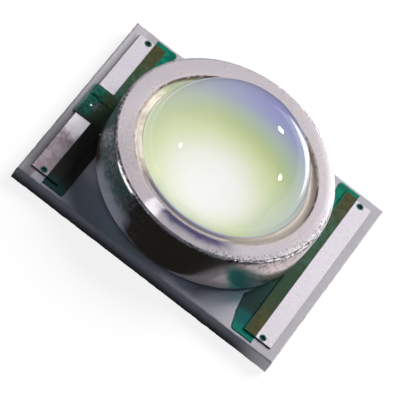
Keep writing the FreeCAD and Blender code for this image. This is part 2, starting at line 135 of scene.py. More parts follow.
class Graph:
    """A material's node graph, with short calls for the nodes it is made of."""

    def __init__(self, name):
        self.material = bpy.data.materials.new(name)
        self.material.use_nodes = True
        self.tree = self.material.node_tree
        self.tree.nodes.clear()
        self.out = self.tree.nodes.new("ShaderNodeOutputMaterial")
        MATERIALS[name] = self.material

    def add(self, kind, **settings):
        node = self.tree.nodes.new(kind)
        for key, value in settings.items():
            setattr(node, key, value)
        return node

    def put(self, node, socket, value):
        """Sets an input: links it where the value is a socket, and types in a number or colour."""
        target = node.inputs[socket]
        if isinstance(value, bpy.types.NodeSocket):
            self.tree.links.new(value, target)
        else:
            target.default_value = value

    def surface(self, socket):
        """Ends the graph in a shader."""
        self.tree.links.new(socket, self.out.inputs["Surface"])

    def vector(self, operation, a, b):
        node = self.add("ShaderNodeVectorMath", operation=operation)
        self.put(node, 0, a)
        self.put(node, 1, b)
        return node.outputs[0]

    def millimetres(self):
        """Place on the part, in millimetres."""
        scaled = self.add("ShaderNodeVectorMath", operation="SCALE")
        self.put(scaled, 0, self.add("ShaderNodeTexCoord").outputs["Object"])
        self.put(scaled, "Scale", 1 / MM)
        return scaled.outputs[0]

    def math(self, operation, a, b=0.0):
        node = self.add("ShaderNodeMath", operation=operation)
        self.put(node, 0, a)
        self.put(node, 1, b)
        return node.outputs[0]

    def fold(self, operation, first, *others):
        """Joins values two by two, from the left."""
        for other in others:
            first = self.math(operation, first, other)
        return first

    def times(self, *values):
        return self.fold("MULTIPLY", *values)

    def plus(self, *values):
        return self.fold("ADD", *values)

    def most(self, *values):
        return self.fold("MAXIMUM", *values)

    def minus(self, a, b):
        return self.math("SUBTRACT", a, b)

    def unless(self, value):
        """1 where the value is 0, and 0 where it is 1."""
        return self.minus(1.0, value)

    def swing(self, value, size):
        """A noise about zero, times a size."""
        return self.times(self.minus(value, 0.5), size)

    def span(self, value, low, high):
        """0 at low, 1 at high, smooth between; low may be the larger."""
        node = self.add("ShaderNodeMapRange", interpolation_type="SMOOTHSTEP")
        self.put(node, "Value", value)
        self.put(node, "From Min", low)
        self.put(node, "From Max", high)
        return node.outputs[0]

    def between(self, value, low, high, soft):
        """1 from low to high, falling to 0 over a soft length beyond each."""
        return self.times(self.span(value, low - soft, low), self.span(value, high + soft, high))

    def split(self, vector):
        node = self.add("ShaderNodeSeparateXYZ")
        self.put(node, 0, vector)
        return node.outputs

    def facing_up(self):
        """How far a surface faces up: 1 on level tops, 0 on upright sides, -1 underneath."""
        return self.split(self.add("ShaderNodeNewGeometry").outputs["Normal"])[2]

    def radius(self, vector, x=0.0, y=RING_Y):
        """Distance in the level plane from an upright axis, by default the ring's."""
        flat = self.vector("MULTIPLY", self.vector("SUBTRACT", vector, (x, y, 0)), (1, 1, 0))
        length = self.add("ShaderNodeVectorMath", operation="LENGTH")
        self.put(length, 0, flat)
        return length.outputs["Value"]

    def azimuth(self, vector):
        """Direction from the ring's axis, in degrees from +X towards +Y."""
        x, y, _ = self.split(vector)
        return self.times(self.math("ARCTAN2", self.minus(y, RING_Y), x), 180 / math.pi)

    def noise(self, vector, scale, detail=2.0, rough=0.5, stretch=None):
        if stretch:
            vector = self.vector("MULTIPLY", vector, stretch)
        node = self.add("ShaderNodeTexNoise")
        self.put(node, "Vector", vector)
        self.put(node, "Scale", scale)
        self.put(node, "Detail", detail)
        self.put(node, "Roughness", rough)
        return node.outputs["Fac"]

    def ramp(self, value, *stops):
        """Colours at places from 0 to 1."""
        node = self.add("ShaderNodeValToRGB")
        self.put(node, "Fac", value)
        bands = node.color_ramp.elements
        while len(bands) < len(stops):
            bands.new(0.5)
        for band, (place, colour) in zip(bands, stops):
            band.position = place
            band.color = tuple(colour) + (1.0,)
        return node.outputs["Color"]

    def mix(self, share, a, b, blend="MIX"):
        node = self.add("ShaderNodeMix", data_type="RGBA", blend_type=blend)
        self.put(node, "Factor", share)
        self.put(node, 6, a if isinstance(a, bpy.types.NodeSocket) else tuple(a) + (1.0,))
        self.put(node, 7, b if isinstance(b, bpy.types.NodeSocket) else tuple(b) + (1.0,))
        return node.outputs[2]

    def bump(self, height, strength, distance_mm):
        node = self.add("ShaderNodeBump")
        self.put(node, "Strength", strength)
        self.put(node, "Distance", distance_mm * MM)
        self.put(node, "Height", height)
        return node.outputs["Normal"]

    def principled(self, **values):
        """A Principled surface wired to the output; keys are socket names with _ for a space."""
        node = self.add("ShaderNodeBsdfPrincipled")
        for key, value in values.items():
            if isinstance(value, tuple) and len(value) == 3:
                value = value + (1.0,)
            self.put(node, key.replace("_", " "), value)
        self.surface(node.outputs[0])
        return node


def srgb(red, green, blue):
    """A screen colour, 0 to 255, as linear light."""
    def one(value):
        value /= 255
        return value / 12.92 if value <= 0.04045 else ((value + 0.055) / 1.055) ** 2.4
    return (one(red), one(green), one(blue))


BLACK = (0.0, 0.0, 0.0)
WHITE = (1.0, 1.0, 1.0)


# Meshes

def link(name, mesh, materials, smooth=35):
    """Makes an object of a mesh in millimetres; smooth is the sharpest bend that is shaded smooth."""
    mesh.transform(Matrix.Scale(MM, 4))
    for material in materials:
        mesh.materials.append(material)
    mesh.polygons.foreach_set("use_smooth", [True] * len(mesh.polygons))
    mesh.set_sharp_from_angle(angle=math.radians(smooth))
    piece = bpy.data.objects.new(name, mesh)
    bpy.context.scene.collection.objects.link(piece)
    return piece


def declare(piece, slot, *nodes):
    """Says what a piece rides on and which solids it stands for; slot is not used."""
    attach(piece, "root")
    if nodes:
        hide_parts(*nodes)


def lathe(name, profile, materials, turns=256, wobble=None, smooth=35):
    """Turns a profile of (radius, height, material of the band that follows) round the ring's axis.

    wobble gives the shift of a point from its profile index, angle, radius and height.
    """
    points = []
    first = []
    for index, (radius, height, _) in enumerate(profile):
        first.append(len(points))
        if radius == 0:
            points.append((0.0, RING_Y, height))
            continue
        for turn in range(turns):
            angle = 2 * math.pi * turn / turns
            dr, dz = wobble(index, angle, radius, height) if wobble else (0.0, 0.0)
            reach = radius + dr
            points.append((reach * math.cos(angle), RING_Y + reach * math.sin(angle), height + dz))
    faces = []
    bands = []
    for index in range(len(profile) - 1):
        a, b = profile[index], profile[index + 1]
        for turn in range(turns):
            after = (turn + 1) % turns
            low = first[index] + (0 if a[0] == 0 else turn)
            low_after = first[index] + (0 if a[0] == 0 else after)
            high = first[index + 1] + (0 if b[0] == 0 else turn)
            high_after = first[index + 1] + (0 if b[0] == 0 else after)
            face = []
            for corner in (low, low_after, high_after, high):
                if corner not in face:
                    face.append(corner)
            faces.append(face)
            bands.append(a[2])
    mesh = bpy.data.meshes.new(name)
    mesh.from_pydata(points, [], faces)
    mesh.polygons.foreach_set("material_index", bands)
    mesh.update()
    return link(name, mesh, materials, smooth)


def arc(radius_of_middle, height_of_middle, radius, start, end, steps, band=0):
    """Profile points along part of a circle, angles in degrees from the outward direction."""
    found = []
    for step in range(steps + 1):
        angle = math.radians(start + (end - start) * step / steps)
        found.append((radius_of_middle + radius * math.cos(angle),
                      height_of_middle + radius * math.sin(angle), band))
    return found


def inner_points(start, end, count, band):
    """Profile points that divide the run between two points, without its ends."""
    return [(start[0] + (end[0] - start[0]) * k / count, start[1] + (end[1] - start[1]) * k / count, band)
            for k in range(1, count)]


def rough_loop(points, step, jitter, seed):
    """Puts points every step along a closed outline and moves them inward by smooth noise."""
    found = []
    count = len(points)
    area = sum(points[i - 1][0] * points[i][1] - points[i][0] * points[i - 1][1] for i in range(count))
    outward = math.copysign(1, area)
    for i in range(count):
        a = Vector(points[i])
        run = Vector(points[(i + 1) % count]) - a
        pieces = max(1, round(run.length / step))
        side = Vector((run.y, -run.x)).normalized() * outward
        for k in range(pieces):
            place = a + run * (k / pieces)
            if k > 0:
                coarse = noise.noise((place.x * 7 + seed, place.y * 7, seed * 3.1)) * 0.6
                fine = noise.noise((place.x * 31, place.y * 31 + seed, seed * 1.7)) * 0.5
                place = place - side * max(coarse + fine + 0.6, 0) * jitter
            found.append((place.x, place.y))
    return found


def rounded(points, corners, radius, steps=5):
    """Rounds the numbered corners of an outline."""
    found = []
    count = len(points)
    for i, point in enumerate(points):
        if i not in corners:
            found.append(point)
            continue
        here = Vector(point)
        before = (Vector(points[i - 1]) - here).normalized() * radius
        after = (Vector(points[(i + 1) % count]) - here).normalized() * radius
        for k in range(steps + 1):
            share = math.radians(90 * k / steps)
            place = here + before + after - after * math.cos(share) - before * math.sin(share)
            found.append((place.x, place.y))
    return found


def hole(x, y, steps=32):
    """Outline of a plated hole."""
    turns = [2 * math.pi * i / steps for i in range(steps)]
    return [(x + HOLE_R * math.cos(turn), y + HOLE_R * math.sin(turn)) for turn in turns]


def plate(name, loops, low, high, edge, material):
    """A flat piece with rounded edges, from an outer outline and the outlines of its holes."""
    curve = bpy.data.curves.new(name, "CURVE")
    curve.dimensions = "2D"
    curve.fill_mode = "BOTH"
    for loop in loops:
        spline = curve.splines.new("POLY")
        spline.points.add(len(loop) - 1)
        spline.points.foreach_set("co", [v for x, y in loop for v in (x, y, 0, 1)])
        spline.use_cyclic_u = True
    curve.extrude = (high - low) / 2 - edge
    curve.bevel_depth = edge
    curve.bevel_resolution = 2
    curve.offset = -edge
    shell = bpy.data.objects.new(name + "_outline", curve)
    bpy.context.scene.collection.objects.link(shell)
    bpy.context.view_layer.update()
    mesh = bpy.data.meshes.new_from_object(shell)
    bpy.data.objects.remove(shell)
    bpy.data.curves.remove(curve)
    mesh.transform(Matrix.Translation((0, 0, (low + high) / 2)))
    mesh.materials.clear()
    return link(name, mesh, [MATERIALS[material]], smooth=30)


# Ring materials

def ring_top_material():
    """Matte top: fine grain, painted shade of the dome near, a violet band of painted lens light and shade
    and a painted bright spot near, a chipped border with painted sparkle, and a painted highlight on the
    rolled edge to the right.
    """
    g = Graph("ring_matte_top")
    mm = g.millimetres()
    angle = g.azimuth(mm)
    far = g.radius(mm)
    grain = g.noise(mm, 16, 4, 0.7)
    broad = g.noise(mm, 1.1, 2)
    chips = g.noise(mm, 13, 4, 0.75)
    waver = g.swing(g.noise(mm, 4, 2), 0.22)
    wavy_far = g.plus(far, waver)
    tone = g.mix(g.span(grain, 0.3, 0.7), srgb(212, 200, 200), srgb(240, 230, 231))
    tone = g.mix(g.span(broad, 0.35, 0.65), tone, srgb(226, 215, 220))
    # Painted shade of the dome over the near part of the top.
    tone = g.mix(g.times(g.between(angle, -92, -62, 16), 0.35), tone, srgb(150, 146, 156))
    # Painted violet light and shade that the lens casts on the near inner part of the top.
    violet = g.times(g.between(angle, -97, -68, 16), g.span(wavy_far, RING_R - 0.2, STEP_R + 0.12))
    tone = g.mix(g.times(violet, 0.97), tone, srgb(82, 74, 120))
    # Border to the right: dark chips, and bright dots of painted sparkle.
    border = g.times(g.between(angle, -66, 8, 8), g.span(far, RING_R - 0.32, RING_R - 0.1))
    tone = g.mix(g.times(border, g.span(chips, 0.48, 0.42)), tone, srgb(104, 90, 92))
    tone = g.mix(g.times(border, g.span(chips, 0.56, 0.62)), tone, srgb(252, 244, 244))
    # Painted bright spot of light that the lens focuses on the top.
    lens_caustic = g.between(g.plus(angle, g.times(waver, 30)), -106, -103, 5)
    # Painted highlight along the rolled edge to the right.
    edge = g.times(g.between(angle, -22, 48, 12), g.span(wavy_far, RING_R - 0.22, RING_R - 0.12), 0.2)
    g.principled(Base_Color=tone, Metallic=0.2, Roughness=0.45, Normal=g.bump(grain, 0.25, 0.02),
                 Emission_Color=srgb(250, 246, 248), Emission_Strength=g.plus(g.times(lens_caustic, 0.5), edge))


def ring_wall_material():
    """Mirror-like outside: scratches and teal dots of painted reflection at the left, a painted green
    reflection and a painted pinkish-gray reflection near, a painted gray reflection of the board and faint
    painted light at the lower left, brown rust to the right, and a painted glint.
    """
    g = Graph("ring_mirror_wall")
    mm = g.millimetres()
    angle = g.azimuth(mm)
    up = g.split(mm)[2]
    streaks = g.noise(mm, 3.0, 4, 0.6, stretch=(1, 1, 0.25))
    fine = g.noise(mm, 11, 3, 0.65)

    worn = g.times(g.span(angle, -180, -160), g.span(angle, -108, -122))
    blurred = g.between(angle, -68, -10, 10)
    rough = g.plus(g.times(fine, worn, 0.2), 0.07, g.times(blurred, 0.16))
    height = g.times(g.plus(g.times(streaks, 0.7), g.times(fine, worn, 1.3)), 0.02)
    height = g.minus(height, g.times(up, WALL_TAPER))

    # Teal dots of painted reflection of the green film in the scratched stretch.
    teal_mirror_dots = g.times(g.span(g.noise(mm, 8, 4, 0.75), 0.44, 0.56), worn, g.span(up, 0.9, 1.5))
    # Painted gray reflection of the board, low on the near left.
    gray_board_reflection = g.times(g.between(angle, -140, -114, 8), g.span(up, 1.55, 1.05), g.plus(0.5, g.times(fine, 0.8)))
    # Painted reflection of the green film, near the right.
    slant = g.plus(angle, g.times(g.minus(up, 1.4), 7), g.swing(fine, 5))
    green = g.times(g.span(slant, -56, -51), g.span(slant, -32, -46), g.span(up, 2.0, 1.6))
    # Painted pinkish-gray reflection of the ceramic on the near part of the wall.
    lean = g.minus(angle, g.times(g.minus(up, 1.2), 9))
    pinkish_reflection = g.times(g.between(lean, -64, -60, 4), g.span(up, 1.95, 1.35))
    rust = g.times(g.between(angle, -46, -8, 8), g.span(g.noise(mm, 7, 4, 0.75), 0.5, 0.6))
    # Faint dots of painted light at the edge of the dark near stretch.
    faint_light_dots = g.times(g.between(angle, -126, -104, 12), g.span(fine, 0.5, 0.62))
    glint = g.times(g.between(angle, *GLINT), g.span(up, RING_TOP - 0.15, RING_TOP - 0.09),
                    g.span(fine, 0.35, 0.55))

    tone = g.mix(blurred, srgb(205, 200, 202), srgb(226, 216, 210))
    tone = g.mix(g.times(teal_mirror_dots, 0.85), tone, srgb(30, 72, 78))
    tone = g.mix(g.times(pinkish_reflection, 0.7), tone, srgb(70, 66, 68))
    tone = g.mix(g.times(rust, 0.7), tone, srgb(132, 106, 92))
    tone = g.mix(g.times(green, 0.75), tone, srgb(40, 110, 104))

    # How strongly the painted reflections and the glint glow.
    reflection_glow_share = g.most(gray_board_reflection, g.times(teal_mirror_dots, 0.7), g.times(green, 0.9), g.times(faint_light_dots, 0.04), g.times(pinkish_reflection, 0.5))
    sheen = g.mix(g.most(teal_mirror_dots, green), srgb(164, 168, 182), srgb(50, 112, 110))
    sheen = g.mix(pinkish_reflection, sheen, srgb(176, 168, 174))
    sheen = g.mix(g.span(reflection_glow_share, 0.0, 0.1), srgb(120, 112, 104), sheen)
    sheen = g.mix(glint, sheen, srgb(252, 250, 250))
    glow = g.plus(0.06, g.times(g.most(reflection_glow_share, g.times(glint, 3.5)), 0.22))
    g.principled(Base_Color=tone, Metallic=1.0, Roughness=rough, Normal=g.bump(height, 1.0, 1.0),
                 Emission_Color=sheen, Emission_Strength=glow)


def ring_edge_material():
    """Rolled outer edge: bright metal with dark pits, darker and patchier at the left, and a painted glint.
    """
    g = Graph("ring_worn_edge")
    mm = g.millimetres()
    angle = g.azimuth(mm)
    up = g.split(mm)[2]
    burr = g.noise(mm, 11, 5, 0.7)
    pits = g.noise(mm, 7, 4, 0.75)
    nicked = g.times(g.span(angle, -95, -70), g.span(angle, 12, -6))
    limit = g.plus(g.times(nicked, 0.14), 0.33)
    dark = g.unless(g.span(burr, g.minus(limit, 0.04), g.plus(limit, 0.04)))
    lip = g.times(g.between(angle, -179, -118, 6), g.span(up, RING_TOP - 0.03, RING_TOP - 0.01))
    dark = g.most(dark, g.times(lip, 0.6, g.span(pits, 0.56, 0.4)))
    # Darker, patchy stretch at the left.
    worn = g.times(g.between(angle, -180, -112, 8), g.span(pits, 0.58, 0.46))
    tone = g.mix(g.span(burr, 0.45, 0.65), srgb(206, 196, 200), srgb(244, 240, 242))
    tone = g.mix(worn, tone, srgb(142, 134, 138))
    tone = g.mix(dark, tone, srgb(70, 56, 60))
    glint = g.times(g.between(angle, *GLINT), g.span(up, RING_TOP - 0.02, RING_TOP - 0.05),
                    g.span(burr, 0.3, 0.5))
    metal = g.plus(g.times(g.between(angle, -110, 60, 20), 0.6), 0.2)
    g.principled(Base_Color=tone, Metallic=metal, Roughness=0.25, Normal=g.bump(burr, 0.6, 0.03),
                 Emission_Color=srgb(252, 250, 250), Emission_Strength=glint)


def ring_reflector_material():
    """Reflecting wall of the bore, lit by the phosphor: green below, violet above."""
    g = Graph("ring_reflector_wall")
    up = g.split(g.millimetres())[2]
    tone = g.ramp(g.span(up, PHOSPHOR_TOP - 0.1, LEDGE),
                  (0.0, srgb(186, 204, 158)), (0.4, srgb(166, 184, 170)),
                  (0.75, srgb(156, 164, 192)), (1.0, srgb(150, 150, 198)))
    g.principled(Base_Color=g.mix(0.6, tone, BLACK), Roughness=0.4,
                 Emission_Color=tone, Emission_Strength=0.6)


def ring_inner_edge_material():
    """Edge round the lens with painted shade of the step, darkest at the upper left and at the right."""
    g = Graph("ring_inner_edge")
    mm = g.millimetres()
    angle = g.azimuth(mm)
    deep = g.most(g.between(angle, 98, 160, 10), g.between(angle, 2, 24, 6))
    limit = g.plus(g.times(deep, 0.16), 0.42)
    # Painted shade of the step, broken up by noise.
    step_shade = g.span(g.noise(mm, 5, 4, 0.7), g.plus(limit, 0.06), g.minus(limit, 0.06))
    brown = g.mix(g.between(angle, -66, -2, 8), srgb(104, 84, 78), srgb(164, 148, 144))
    g.principled(Base_Color=g.mix(step_shade, srgb(186, 172, 166), brown), Metallic=0.1, Roughness=0.5)


def ring_ledge_material():
    """Plain metal of the step that holds the lens."""
    g = Graph("ring_ledge")
    tone = g.mix(g.noise(g.millimetres(), 9, 3), srgb(120, 106, 96), srgb(176, 164, 150))
    g.principled(Base_Color=tone, Metallic=0.2, Roughness=0.5)


# Lens, phosphor and bead materials

def lens_material():
    """Clear glass with a blue tint at the near edge; its shadow is half clear."""
    g = Graph("lens_clear")
    mm = g.millimetres()
    rim = g.times(g.span(g.radius(mm), DOME_R - 0.12, DOME_R), g.between(g.azimuth(mm), -112, -64, 12))
    glass = g.principled(Base_Color=g.mix(rim, srgb(250, 252, 250), srgb(228, 231, 252)), Roughness=0.02,
                         IOR=1.47, Transmission_Weight=1.0)
    clear = g.add("ShaderNodeBsdfTransparent")
    g.put(clear, "Color", LENS_SHADOW)
    mixed = g.add("ShaderNodeMixShader")
    g.put(mixed, 0, g.add("ShaderNodeLightPath").outputs["Is Shadow Ray"])
    g.put(mixed, 1, glass.outputs[0])
    g.put(mixed, 2, clear.outputs[0])
    g.surface(mixed.outputs[0])


def phosphor_material():
    """Glow that goes from white in the middle through green to violet at the rim."""
    g = Graph("phosphor_glow")
    mm = g.millimetres()
    x, y, _ = g.split(mm)
    far = g.plus(g.radius(mm), g.swing(g.noise(mm, 1.6, 2), 0.12))
    tone = g.ramp(g.math("DIVIDE", far, PHOSPHOR_R),
                  (0.0, srgb(246, 246, 246)), (0.22, srgb(243, 243, 239)), (0.33, srgb(237, 238, 226)),
                  (0.42, srgb(226, 230, 202)), (0.49, srgb(212, 223, 178)), (0.56, srgb(201, 211, 158)),
                  (0.61, srgb(188, 202, 148)), (0.65, srgb(180, 196, 156)), (0.71, srgb(174, 188, 182)),
                  (0.76, srgb(162, 168, 206)), (0.80, srgb(160, 160, 212)), (1.0, srgb(152, 151, 208)))
    pale_side = g.span(x, 0.4, -1.9)
    tone = g.mix(g.times(pale_side, 0.5), tone, srgb(222, 226, 196))
    blue_side = g.times(g.span(x, 0.75, 1.35), g.span(y, -0.9, 0.1))
    tone = g.mix(g.times(blue_side, 0.5), tone, srgb(198, 208, 214))
    green_side = g.span(g.plus(g.times(x, -0.94), g.times(y, 0.34)), 1.3, 1.9)
    tone = g.mix(g.times(green_side, 0.85), tone, srgb(208, 220, 168))
    g.principled(Base_Color=g.mix(0.85, tone, BLACK), Roughness=0.8,
                 Emission_Color=tone, Emission_Strength=0.78)


def bead_material():
    """Silicone round the lens: cream, green at the left, thin bands of painted shade near, painted shade of
    the step along the ring, and painted light on its inner part at the left.
    """
    g = Graph("seal_bead")
    mm = g.millimetres()
    angle = g.azimuth(mm)
    far = g.radius(mm)
    left = g.between(angle, 84, 160, 14)
    near = g.between(angle, -118, -62, 10)
    right = g.between(angle, -62, 30, 12)
    cream = g.mix(g.span(g.noise(mm, 3, 2), 0.35, 0.6), srgb(200, 190, 176), srgb(232, 226, 212))
    green = g.ramp(g.span(g.math("ABSOLUTE", angle), 90, 180), (0.0, srgb(150, 160, 190)),
                   (0.35, srgb(186, 200, 176)), (1.0, srgb(196, 204, 170)))
    # Near side: thin bands of painted shade either side of a cream band.
    shade_lines = g.ramp(g.span(far, DOME_R, STEP_R), (0.0, srgb(190, 188, 196)), (0.1, srgb(140, 134, 138)),
                   (0.28, srgb(150, 142, 142)), (0.4, srgb(226, 220, 208)), (0.6, srgb(230, 222, 208)),
                   (0.74, srgb(150, 140, 140)), (0.95, srgb(100, 92, 104)))
    wavy_far = g.plus(far, g.swing(g.noise(mm, 6, 3), 0.12))
    # Painted shade of the step along the outer part.
    step_shade = g.times(g.span(wavy_far, STEP_R - 0.11, STEP_R - 0.03), g.unless(g.times(left, 0.5)), 0.8)
    tone = g.mix(left, g.mix(right, cream, srgb(180, 170, 160)), green)
    tone = g.mix(step_shade, tone, g.mix(right, srgb(142, 122, 112), srgb(186, 168, 160)))
    tone = g.mix(near, tone, shade_lines)
    # Painted light on the inner part at the left, weaker near.
    painted_lift = g.times(g.span(far, STEP_R, STEP_R - 0.1), g.unless(g.between(angle, -122, 158, 12)))
    painted_lift = g.times(g.most(painted_lift, g.times(near, 0.3)), 0.4)
    g.principled(Base_Color=tone, Roughness=0.3, Coat_Weight=g.times(g.unless(near), 0.3),
                 Emission_Color=tone, Emission_Strength=painted_lift)


# Board materials

def ceramic_material():
    """Grainy ceramic with painted shade along the near long side, beside the ring, inside the plus, along the
    left end and low on the sides, and painted light on the near edge and at the right corner.
    """
    g = Graph("ceramic_grain")
    mm = g.millimetres()
    x, y, up = g.split(mm)
    facing = g.facing_up()
    grain = g.noise(mm, 24, 4, 0.7)
    blotch = g.noise(mm, 2.2, 3)
    tone = g.mix(g.span(grain, 0.35, 0.65), srgb(206, 200, 206), srgb(238, 232, 238))
    tone = g.mix(g.span(blotch, 0.4, 0.7), tone, srgb(220, 212, 220))

    # Painted shade along the near long side, changing along the board.
    front_shade = g.ramp(g.span(x, BOARD_LOW[0], BOARD_HIGH[0]),
                   (0.0, (0.66, 0.68, 0.70)), (0.08, (0.42, 0.45, 0.49)), (0.22, (0.42, 0.52, 0.54)),
                   (0.42, (0.62, 0.74, 0.72)), (0.60, WHITE), (0.68, (0.7, 0.82, 0.88)),
                   (0.75, (0.38, 0.44, 0.50)), (0.84, (0.55, 0.58, 0.62)), (0.94, (0.8, 0.8, 0.8)))
    # Painted shade along the left end, lightest towards the far corner.
    rim = g.most(g.span(x, -4.24, -4.42), g.span(y, 2.95, 3.15))
    margin_shade = g.times(g.plus(0.42, g.times(g.span(y, -3.0, 3.3), 0.5)), g.plus(0.6, g.times(rim, 0.4)))
    # Painted shade beside the ring, near right.
    foot = g.times(g.span(g.radius(mm), RING_R + 0.6, RING_R + 0.2), g.span(x, 1.9, 2.6),
                   g.span(y, -1.0, -1.4))
    # Painted shade inside the plus.
    plus_shade = g.times(g.between(x, -4.15, -3.6, 0.02), g.between(y, -0.3, 0.3, 0.02))
    flat = g.mix(g.span(y, -1.9, -2.6), (0.8, 0.8, 0.8), front_shade)
    flat = g.mix(g.span(x, -4.0, -4.1), flat, g.mix(margin_shade, BLACK, WHITE))
    flat = g.mix(foot, flat, (0.22, 0.34, 0.38))
    flat = g.mix(plus_shade, flat, (0.13, 0.14, 0.17))

    # Sides: painted shade low down, none at the right corner.
    corner = g.span(x, 3.2, BOARD_HIGH[0])
    side = g.mix(g.span(up, 0.08, 0.5), (0.16, 0.17, 0.19), (0.95, 1.0, 1.0))
    side = g.mix(corner, side, WHITE)
    top = g.span(facing, 0.2, 0.9)
    tone = g.mix(1.0, tone, g.mix(top, side, flat), blend="MULTIPLY")

    # Painted light on the sides at the right corner, and on the near edge and the near left corner.
    lit = g.times(corner, g.span(facing, 0.6, 0.2), g.span(y, -3.3, BOARD_LOW[1]), 0.2)
    light_streak = g.times(g.between(x, 0.9, 1.7, 0.6), g.span(y, -3.2, -3.45))
    near_corner = g.times(g.span(x, -3.9, -4.2), g.span(y, -2.9, -3.1))
    light_streak = g.times(g.most(light_streak, g.times(near_corner, 0.7)), top)
    g.principled(Base_Color=tone, Roughness=0.6, Normal=g.bump(grain, 0.4, 0.015),
                 Emission_Color=srgb(230, 228, 238), Emission_Strength=g.plus(lit, g.times(light_streak, 0.07)))


def pad_material():
    """Matte silver plating: painted shade on the outer half of the near short pad, painted light on its other
    half and fainter on the other pads.
    """
    g = Graph("plated_pad")
    mm = g.millimetres()
    x, y, _ = g.split(mm)
    speck = g.noise(mm, 30, 4, 0.8)
    blotch = g.noise(mm, 4.0, 3, 0.6)
    near_pad = g.times(g.span(x, -2.0, -3.0), g.span(y, 0.0, -PAD_GAP))
    # Painted shade on the outer half of the near short pad.
    near_pad_shade = g.times(near_pad, g.span(g.plus(y, g.times(blotch, 0.8)), -0.7, -1.4))
    tone = g.mix(g.span(speck, 0.38, 0.62), srgb(222, 212, 221), srgb(248, 243, 249))
    tone = g.mix(g.span(blotch, 0.45, 0.7), tone, srgb(238, 226, 236))
    pad_shade_tone = g.mix(g.span(blotch, 0.4, 0.6), srgb(196, 174, 178), srgb(220, 204, 208))
    tone = g.mix(near_pad_shade, tone, pad_shade_tone)
    tone = g.mix(g.span(g.facing_up(), 0.3, 0.8), srgb(96, 78, 76), tone)
    # Painted light on the rest of the near short pad, fainter on the other pads.
    glow = g.plus(g.times(g.minus(near_pad, near_pad_shade), 0.36), g.times(g.unless(near_pad), 0.12))
    g.principled(Base_Color=tone, Metallic=0.3, Roughness=0.45, Normal=g.bump(speck, 0.35, 0.02),
                 Emission_Color=tone, Emission_Strength=glow)


def film_material():
    """Green film: teal on the ceramic, olive over the copper, patchy round the plus with painted light on its
    cut faces and a painted glint, and painted shade beside the ring and beside the near short pad.
    """
    g = Graph("green_mask")
    mm = g.millimetres()
    x, y, _ = g.split(mm)
    across = g.math("ABSOLUTE", x)
    along = g.math("ABSOLUTE", y)
    mottle = g.noise(mm, 6, 4, 0.6)
    fine = g.noise(mm, 13, 4, 0.7)

    # Painted shade near the ring at the near right, darkening towards the ring.
    near_right = g.span(x, 1.0, 2.0)
    shaded = g.times(near_right, g.span(y, -0.9, -2.3))
    fading_shade = g.times(shaded, g.span(g.plus(x, g.times(mottle, 0.1)), 3.06, 2.74))
    under = g.times(near_right, g.between(y, -2.45, -0.8, 0.3), 0.85)
    teal = g.mix(g.span(mottle, 0.35, 0.65), srgb(0, 104, 84), srgb(0, 138, 108))
    teal = g.mix(shaded, teal, g.mix(g.span(y, -2.9, -3.3), srgb(14, 92, 90), srgb(4, 122, 104)))
    teal = g.mix(fading_shade, teal, srgb(44, 74, 80))
    teal = g.mix(under, teal, srgb(32, 48, 44))

    olive = g.mix(g.span(y, -0.6, 0.4), srgb(46, 80, 60), srgb(66, 110, 92))
    olive = g.mix(g.span(along, 1.2, 3.1), olive, srgb(98, 84, 46))
    olive = g.mix(g.span(mottle, 0.3, 0.7), olive, srgb(60, 74, 50))
    over_copper = g.times(g.span(across, PAD_IN - 0.02, PAD_IN + 0.02),
                          g.unless(g.span(along, PAD_HALF - 0.01, PAD_HALF + 0.03)))
    tone = g.mix(over_copper, teal, olive)

    middle = g.times(g.span(x, -3.3, -3.6), g.span(along, 0.72, 0.55))
    patchy = g.mix(g.span(fine, 0.42, 0.56), srgb(20, 52, 40), srgb(22, 118, 104))
    patchy = g.mix(g.span(x, -3.95, -3.75), patchy, srgb(52, 70, 44))
    patchy = g.mix(g.times(g.span(x, -4.18, -4.32), 0.7), patchy, srgb(140, 156, 164))
    tone = g.mix(g.times(middle, 0.85), tone, patchy)

    unlit = g.times(g.span(x, -2.0, -2.6), g.span(y, -0.35, -0.8))
    wavy_y = g.plus(y, g.times(mottle, 0.6))
    tone = g.mix(unlit, tone, g.mix(g.span(wavy_y, -2.4, -3.1), srgb(46, 44, 38), srgb(34, 68, 68)))

    glint = g.span(g.radius(mm, -4.01, -0.09), 0.05, 0.02)
    # Painted light on the cut faces round the plus.
    lit_side_faces = g.times(middle, g.span(g.facing_up(), 0.9, 0.5))
    g.principled(Base_Color=tone, Roughness=0.4, Specular_IOR_Level=0.2,
                 Coat_Weight=g.times(g.unless(unlit), 0.1), Coat_Roughness=0.1,
                 Normal=g.bump(g.noise(mm, 8, 3), 0.25, 0.02),
                 Emission_Color=g.mix(glint, patchy, srgb(226, 250, 246)),
                 Emission_Strength=g.most(g.times(glint, 0.8), g.times(lit_side_faces, 0.6)))


def plain_materials():
    """Materials of small and hidden pieces: name, colour, metal, roughness and grain scale."""
    plain = [
        ("under_metal", srgb(214, 208, 196), 0.8, 0.35, 14),
        ("bond_gray", srgb(128, 132, 138), 0.0, 0.6, 20),
        ("solder_gray", srgb(188, 188, 184), 0.8, 0.35, 40),
        ("chip_crystal", srgb(210, 214, 180), 0.0, 0.2, 40),
        ("diode_dark", srgb(60, 62, 70), 0.1, 0.3, 40),
        ("wire_gold", srgb(240, 200, 110), 1.0, 0.2, 60),
        ("via_green", srgb(24, 84, 72), 0.0, 0.5, 60),
        ("via_plating", srgb(96, 140, 132), 0.3, 0.4, 60)]
    for name, colour, metal, rough, scale in plain:
        g = Graph(name)
        tone = g.mix(g.noise(g.millimetres(), scale, 3), tuple(0.8 * c for c in colour), colour)
        g.principled(Base_Color=tone, Metallic=metal, Roughness=rough)


# Pieces

